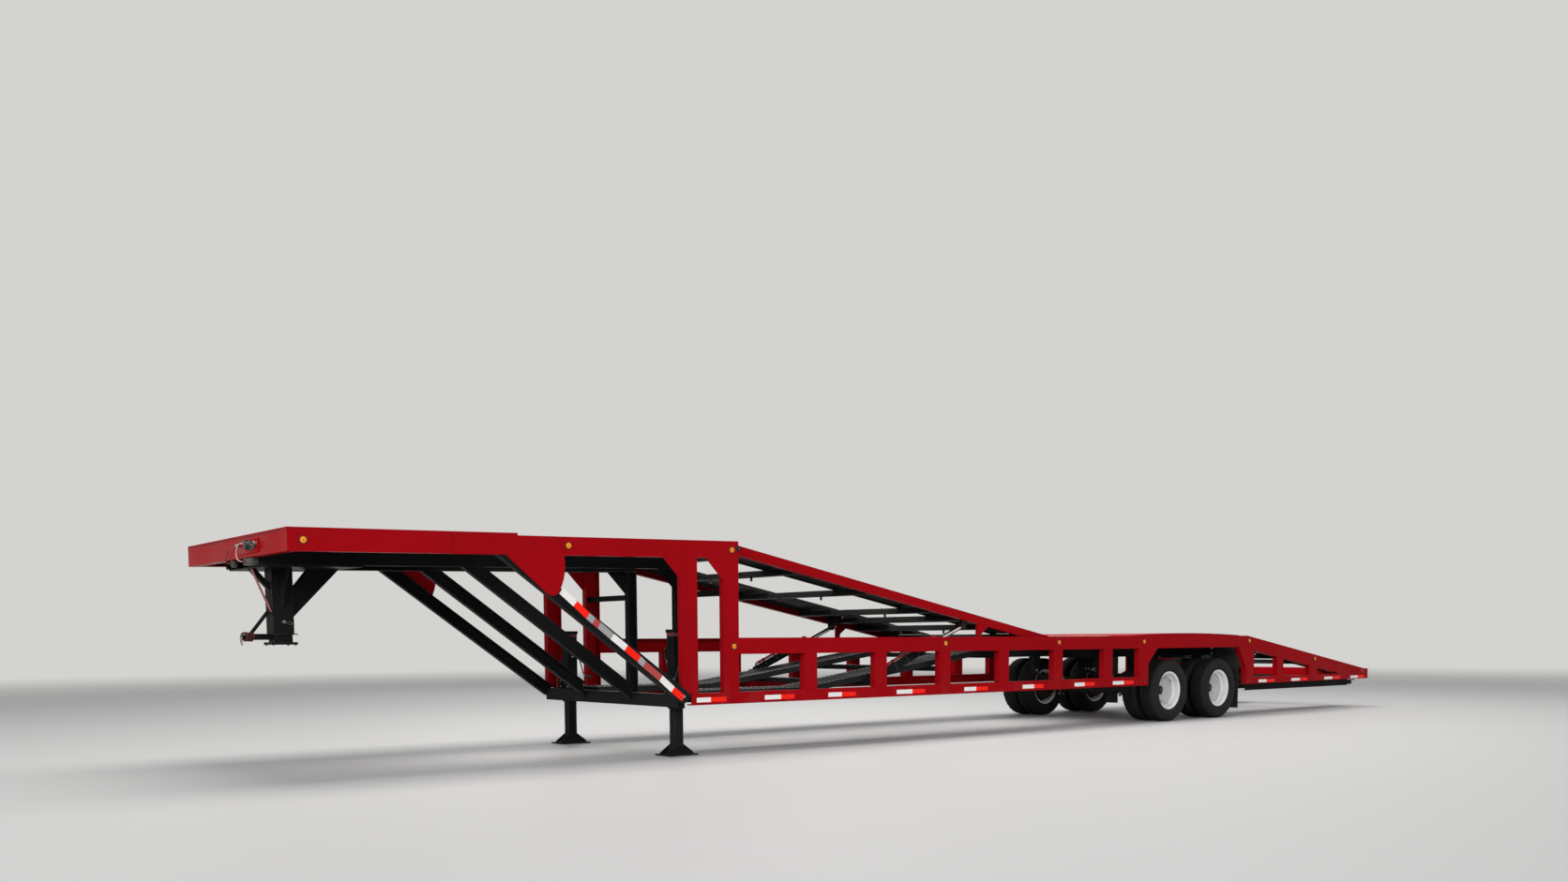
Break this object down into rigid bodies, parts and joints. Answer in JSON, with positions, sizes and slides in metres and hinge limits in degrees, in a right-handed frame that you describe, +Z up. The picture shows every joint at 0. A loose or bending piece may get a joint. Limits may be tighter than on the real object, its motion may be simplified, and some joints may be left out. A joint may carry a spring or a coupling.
{
  "type": "gooseneck car transporter trailer",
  "caption": "Two-deck gooseneck wedge trailer for carrying cars, with a hydraulic lift ramp, side frames, twin-tyred tandem axles, a sloping tail and stowed loading ramps.",
  "frame": {"origin": "on the floor under the middle between the header's face and the tail end, on the centre plane", "axes": "+X rearwards along the trailer, +Y to the right side seen from behind, +Z up"},
  "size_m": [16.34, 2.59, 2.002],
  "materials": {
    "red_paint": "gloss, deep red, dusty",
    "black_paint": "semi-gloss, black",
    "black_deck": "worn black paint",
    "axle_steel": "rough, black",
    "chrome_rod": "polished",
    "tyre": "matt",
    "white_wheel": "gloss, white",
    "black_rubber": "matt",
    "amber_lens": "clear amber",
    "red_lens": "clear red"
  },
  "bodies": {
    "frame": {"axle_deck": "black_deck", "axles": "axle_steel", "belly_cross_members": "black_paint", "belly_runways": "black_deck", "chassis_beams": "black_paint", "coupler_post": "black_paint", "coupler_socket": "black_paint", "fish_plates": "red_paint", "front_cross_beam": "black_paint", "gooseneck_inner_frame": "black_paint", "header_beam": "red_paint", "header_fittings": "black_paint", "header_leads": "black_rubber", "jack_hoses": "black_rubber", "landing_jacks": "black_paint", "leaf_springs": "axle_steel", "lower_rail_left": "red_paint", "lower_rail_right": "red_paint", "marker_lights": "amber_lens", "mid_rail_left": "red_paint", "mid_rail_right": "red_paint", "mud_flaps": "black_rubber", "neck_cross_members": "black_paint", "neck_deck": "red_paint", "neck_inner_beams": "black_paint", "neck_rail_left": "red_paint", "neck_rail_right": "red_paint", "neck_runways": "black_deck", "outer_diagonals": "black_paint", "ramp_guides": "black_paint", "ramp_hinge_shaft": "black_paint", "side_posts_left": "red_paint", "side_posts_right": "red_paint", "tail_cross_members": "black_paint", "tail_frame_left": "red_paint", "tail_frame_right": "red_paint", "tail_lights": "red_lens", "tail_runways": "black_deck"},
    "lift_ramp": {"ramp_rail_left": "red_paint", "ramp_rail_right": "red_paint", "ramp_cross_members": "black_paint", "ramp_runways": "black_deck"},
    "lift_cylinder_left": {"lift_cylinder_left": "black_paint"},
    "lift_cylinder_right": {"lift_cylinder_right": "black_paint"},
    "lift_rod_left": {"lift_rod_left": "chrome_rod"},
    "lift_rod_right": {"lift_rod_right": "chrome_rod"},
    "loading_ramp_left": {"loading_ramp_left": "black_deck"},
    "loading_ramp_right": {"loading_ramp_right": "black_deck"},
    "wheels_front_left": {"tyres_front_left": "tyre", "wheels_front_left": "white_wheel"},
    "wheels_front_right": {"tyres_front_right": "tyre", "wheels_front_right": "white_wheel"},
    "wheels_rear_left": {"tyres_rear_left": "tyre", "wheels_rear_left": "white_wheel"},
    "wheels_rear_right": {"tyres_rear_right": "tyre", "wheels_rear_right": "white_wheel"}
  },
  "joints": [
    {"name": "ramp_lift", "type": "hinge", "parent": "frame", "child": "lift_ramp", "pos_m": [-3.978, 0, 1.933], "axis": [0, -1, 0], "range_deg": [0, 11]},
    {"name": "cylinder_tilt_left", "type": "hinge", "parent": "frame", "child": "lift_cylinder_left", "pos_m": [-1.98, -1.108, 0.7], "axis": [0, -1, 0], "range_deg": [0, 18.36]},
    {"name": "rod_slide_left", "type": "slide", "parent": "lift_cylinder_left", "child": "lift_rod_left", "axis": [0.9228, 0, 0.3852], "range_m": [0, 0.405]},
    {"name": "cylinder_tilt_right", "type": "hinge", "parent": "frame", "child": "lift_cylinder_right", "pos_m": [-1.98, 1.108, 0.7], "axis": [0, -1, 0], "range_deg": [0, 18.36]},
    {"name": "rod_slide_right", "type": "slide", "parent": "lift_cylinder_right", "child": "lift_rod_right", "axis": [0.9228, 0, 0.3852], "range_m": [0, 0.405]},
    {"name": "wheel_spin_front_left", "type": "hinge", "parent": "frame", "child": "wheels_front_left", "pos_m": [3.016, -1.018, 0.4], "axis": [0, 1, 0], "continuous": true},
    {"name": "wheel_spin_front_right", "type": "hinge", "parent": "frame", "child": "wheels_front_right", "pos_m": [3.016, 1.018, 0.4], "axis": [0, 1, 0], "continuous": true},
    {"name": "wheel_spin_rear_left", "type": "hinge", "parent": "frame", "child": "wheels_rear_left", "pos_m": [4.141, -1.018, 0.4], "axis": [0, 1, 0], "continuous": true},
    {"name": "wheel_spin_rear_right", "type": "hinge", "parent": "frame", "child": "wheels_rear_right", "pos_m": [4.141, 1.018, 0.4], "axis": [0, 1, 0], "continuous": true},
    {"name": "loading_ramp_slide_left", "type": "slide", "parent": "frame", "child": "loading_ramp_left", "axis": [1, 0, 0], "range_m": [0, 2.3]},
    {"name": "loading_ramp_slide_right", "type": "slide", "parent": "frame", "child": "loading_ramp_right", "axis": [1, 0, 0], "range_m": [0, 2.3]}
  ],
  "couplings": [
    {"joint": "cylinder_tilt_left", "follows": "ramp_lift", "ratio": 1.6676},
    {"joint": "rod_slide_left", "follows": "ramp_lift", "m_per_rad": 2.1024},
    {"joint": "cylinder_tilt_right", "follows": "ramp_lift", "ratio": 1.6676},
    {"joint": "rod_slide_right", "follows": "ramp_lift", "m_per_rad": 2.1024}
  ]
}
